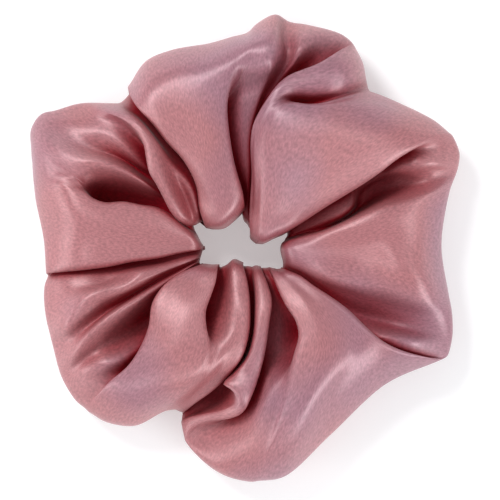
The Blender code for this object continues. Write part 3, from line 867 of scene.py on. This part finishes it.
def make_elastic():
    """A strip of flat braided elastic: its ends are lapped, the later one outside, and its ribs cross it."""
    radius, height, half_width = elastic_frame()
    turn = 2 * math.pi + ELASTIC_LAP
    ribs = round(radius * turn / ELASTIC_RIB_PITCH)
    columns = ribs * COLUMNS_PER_RIB
    half = ELASTIC_THICKNESS / 2
    ups = [2 * k / (ELASTIC_SIDE_POINTS - 1) - 1 for k in range(ELASTIC_SIDE_POINTS)]
    profile = [(half, half_width * up) for up in ups]
    profile += [(-out, -up) for out, up in profile]
    climb = ELASTIC_THICKNESS + ELASTIC_LAP_GAP
    points = []
    for i in range(columns + 1):
        share = i / columns
        angle = turn * share - ELASTIC_LAP / 2
        middle = radius + climb * (share * share * (3 - 2 * share) - 0.5)
        rib = ELASTIC_RIB_HEIGHT * math.cos(2 * math.pi * ribs * share)
        for k, (out, up) in enumerate(profile):
            braid = rib * (1 if (k // 2) % 2 else -1)
            core = out * (1 - 2 * ELASTIC_RIB_HEIGHT / ELASTIC_THICKNESS)
            r = middle + core + math.copysign(braid, out) / 2
            points.append((r * math.cos(angle), r * math.sin(angle), height + up))
    rows = len(profile)
    faces = []
    for i in range(columns):
        for k in range(rows):
            m = (k + 1) % rows
            faces.append((i * rows + k, (i + 1) * rows + k, (i + 1) * rows + m, i * rows + m))
    faces.append(tuple(range(rows)))
    faces.append(tuple(columns * rows + k for k in reversed(range(rows))))
    elastic = mesh_object("elastic_ring", points, faces)
    yarn = plain_yarn_material("braided_elastic", ELASTIC_COLOUR, ELASTIC_ROUGHNESS, ELASTIC_GRAIN)
    elastic.data.materials.append(yarn)
    ends = ("elastic_band_right_inner_end", "elastic_band_right_outer_end")
    finish_piece(elastic, "elastic", "elastic_band_left", *ends)


def stitch_tree():
    """Geometry nodes that lay one short round stitch after another along a path, with a gap between them."""
    tree = bpy.data.node_groups.new("stitch_run", "GeometryNodeTree")
    face = tree.interface
    face.new_socket("Path", in_out="INPUT", socket_type="NodeSocketGeometry")
    sizes = {"Pitch": SEAM_PITCH, "Stitch Length": SEAM_STITCH, "Thread Radius": THREAD_RADIUS}
    for name, value in sizes.items():
        face.new_socket(name, in_out="INPUT", socket_type="NodeSocketFloat").default_value = value
    face.new_socket("Thread", in_out="INPUT", socket_type="NodeSocketMaterial")
    face.new_socket("Stitches", in_out="OUTPUT", socket_type="NodeSocketGeometry")
    nodes, links = tree.nodes, tree.links
    given, made = nodes.new("NodeGroupInput"), nodes.new("NodeGroupOutput")
    line = nodes.new("GeometryNodeMeshToCurve")
    spread = nodes.new("GeometryNodeResampleCurve")
    spread.mode = "LENGTH"
    stitch = nodes.new("GeometryNodeMeshUVSphere")
    stitch.inputs["Segments"].default_value = 8
    stitch.inputs["Rings"].default_value = 6
    stitch.inputs["Radius"].default_value = 0.5
    size = nodes.new("ShaderNodeCombineXYZ")
    double = nodes.new("ShaderNodeMath")
    double.operation = "MULTIPLY"
    double.inputs[1].default_value = 2.0
    tangent = nodes.new("GeometryNodeInputTangent")
    turn = nodes.new("FunctionNodeAlignRotationToVector")
    turn.axis = "Z"
    place = nodes.new("GeometryNodeInstanceOnPoints")
    real = nodes.new("GeometryNodeRealizeInstances")
    paint = nodes.new("GeometryNodeSetMaterial")
    links.new(given.outputs["Path"], line.inputs["Mesh"])
    links.new(line.outputs["Curve"], spread.inputs["Curve"])
    links.new(given.outputs["Pitch"], spread.inputs["Length"])
    links.new(spread.outputs["Curve"], place.inputs["Points"])
    links.new(stitch.outputs["Mesh"], place.inputs["Instance"])
    links.new(tangent.outputs["Tangent"], turn.inputs["Vector"])
    links.new(turn.outputs["Rotation"], place.inputs["Rotation"])
    links.new(given.outputs["Thread Radius"], double.inputs[0])
    links.new(double.outputs["Value"], size.inputs["X"])
    links.new(double.outputs["Value"], size.inputs["Y"])
    links.new(given.outputs["Stitch Length"], size.inputs["Z"])
    links.new(size.outputs["Vector"], place.inputs["Scale"])
    links.new(place.outputs["Instances"], real.inputs["Geometry"])
    links.new(real.outputs["Geometry"], paint.inputs["Geometry"])
    links.new(given.outputs["Thread"], paint.inputs["Material"])
    links.new(paint.outputs["Geometry"], made.inputs["Stitches"])
    return tree


def stitched(name, path, closed, pitch, length, tree, thread):
    """A run of stitches along a path, as a plain mesh."""
    count = len(path)
    edges = [(i, (i + 1) % count) for i in range(count if closed else count - 1)]
    mesh = bpy.data.meshes.new(name)
    mesh.from_pydata([tuple(p) for p in path], edges, [])
    obj = bpy.data.objects.new(name, mesh)
    bpy.context.scene.collection.objects.link(obj)
    run = obj.modifiers.new("stitches", "NODES")
    run.node_group = tree
    sockets = {item.name: item.identifier for item in tree.interface.items_tree if item.in_out == "INPUT"}
    run[sockets["Pitch"]] = pitch
    run[sockets["Stitch Length"]] = length
    run[sockets["Thread Radius"]] = THREAD_RADIUS
    run[sockets["Thread"]] = thread
    apply_modifiers(obj)
    obj.data.shade_smooth()
    return obj


def make_stitches(grid):
    tree = stitch_tree()
    thread = plain_yarn_material("sewing_thread", THREAD_COLOUR, THREAD_ROUGHNESS, THREAD_GRAIN)
    middle = grid.mean(axis=1, keepdims=True)
    inward = middle - grid
    inward /= np.linalg.norm(inward, axis=2, keepdims=True)

    edge = grid[:, TOP_ROWS]
    seam = edge + SEAM_DEPTH * inward[:, TOP_ROWS]
    long_seam = stitched("long_seam_stitches", seam, True, SEAM_PITCH, SEAM_STITCH, tree, thread)
    finish_piece(long_seam, "sewing_thread", "long_seam_thread_left", "long_seam_thread_right")

    angles = np.arctan2(edge[:, 1], edge[:, 0]) % (2 * math.pi)
    closing = grid[(angles > CLOSING_ARC[0]) & (angles < CLOSING_ARC[1]), CLOSING_ROW]
    closing_run = stitched("closing_stitches", closing, False, CLOSING_PITCH, CLOSING_STITCH, tree, thread)
    finish_piece(closing_run, "sewing_thread", "closing_stitch_thread")

    across = grid[END_SEAM_COLUMN] + END_SEAM_DEPTH * inward[END_SEAM_COLUMN]
    end_seam = stitched("end_seam_stitches", across, True, SEAM_PITCH, SEAM_STITCH, tree, thread)
    finish_piece(end_seam, "sewing_thread", "end_seam_thread")

    join = stitched("elastic_join_stitches", join_zigzag(), False, JOIN_PITCH, JOIN_STITCH, tree, thread)
    finish_piece(join, "sewing_thread", "elastic_join_thread")


def join_zigzag():
    """The join thread's route: up and down along the lap, and through both of its layers at each corner."""
    radius, height, half_width = elastic_frame()
    route = []
    for i in range(JOIN_CORNERS):
        angle = math.radians((i - JOIN_CORNERS // 2) * JOIN_CORNER_ANGLE)
        way = 1 if i % 2 else -1
        up = way * JOIN_HEIGHT_SHARE * half_width
        for r in (radius - way * JOIN_REACH, radius + way * JOIN_REACH):
            route.append((r * math.cos(angle), r * math.sin(angle), height + up))
    return route


# The set

def make_camera():
    data = bpy.data.cameras.new("camera")
    data.sensor_width = SENSOR_WIDTH
    data.lens = SENSOR_WIDTH * CAMERA_HEIGHT / VIEW_WIDTH
    data.clip_end = CAMERA_REACH
    camera = bpy.data.objects.new("camera", data)
    camera.location = (*VIEW_CENTRE, CAMERA_HEIGHT)
    bpy.context.scene.collection.objects.link(camera)
    bpy.context.scene.camera = camera


def make_floor():
    half = FLOOR_HALF_WIDTH
    corners = [(-half, -half, 0), (half, -half, 0), (half, half, 0), (-half, half, 0)]
    floor = mesh_object("floor", corners, [(0, 1, 2, 3)], smooth=False)
    material, nodes, _ = new_material("pale_floor")
    shader = nodes["Principled BSDF"]
    shader.inputs["Base Color"].default_value = (*FLOOR_COLOUR, 1)
    shader.inputs["Roughness"].default_value = FLOOR_ROUGHNESS
    shader.inputs["Emission Color"].default_value = (1, 1, 1, 1)
    shader.inputs["Emission Strength"].default_value = FLOOR_GLOW
    floor.data.materials.append(material)


def area_light(name, place, size, power):
    data = bpy.data.lights.new(name, "AREA")
    data.shape = "DISK"
    data.size = size
    data.energy = power
    light = bpy.data.objects.new(name, data)
    light.location = place
    light.rotation_euler = (Vector(LIGHTS_FACE) - Vector(place)).to_track_quat("-Z", "Y").to_euler()
    bpy.context.scene.collection.objects.link(light)


def make_lights():
    for light in LIGHTS:
        area_light(*light)
    world = bpy.data.worlds.new("studio")
    world.use_nodes = True
    background = world.node_tree.nodes["Background"]
    background.inputs["Color"].default_value = (*WORLD_COLOUR, 1)
    background.inputs["Strength"].default_value = WORLD_STRENGTH
    bpy.context.scene.world = world
    bpy.context.scene.view_settings.view_transform = "Standard"


def main():
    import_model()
    make_camera()
    grid = satin_grid()
    make_elastic()
    make_stitches(grid)
    make_cover(grid)
    make_floor()
    make_lights()


main()
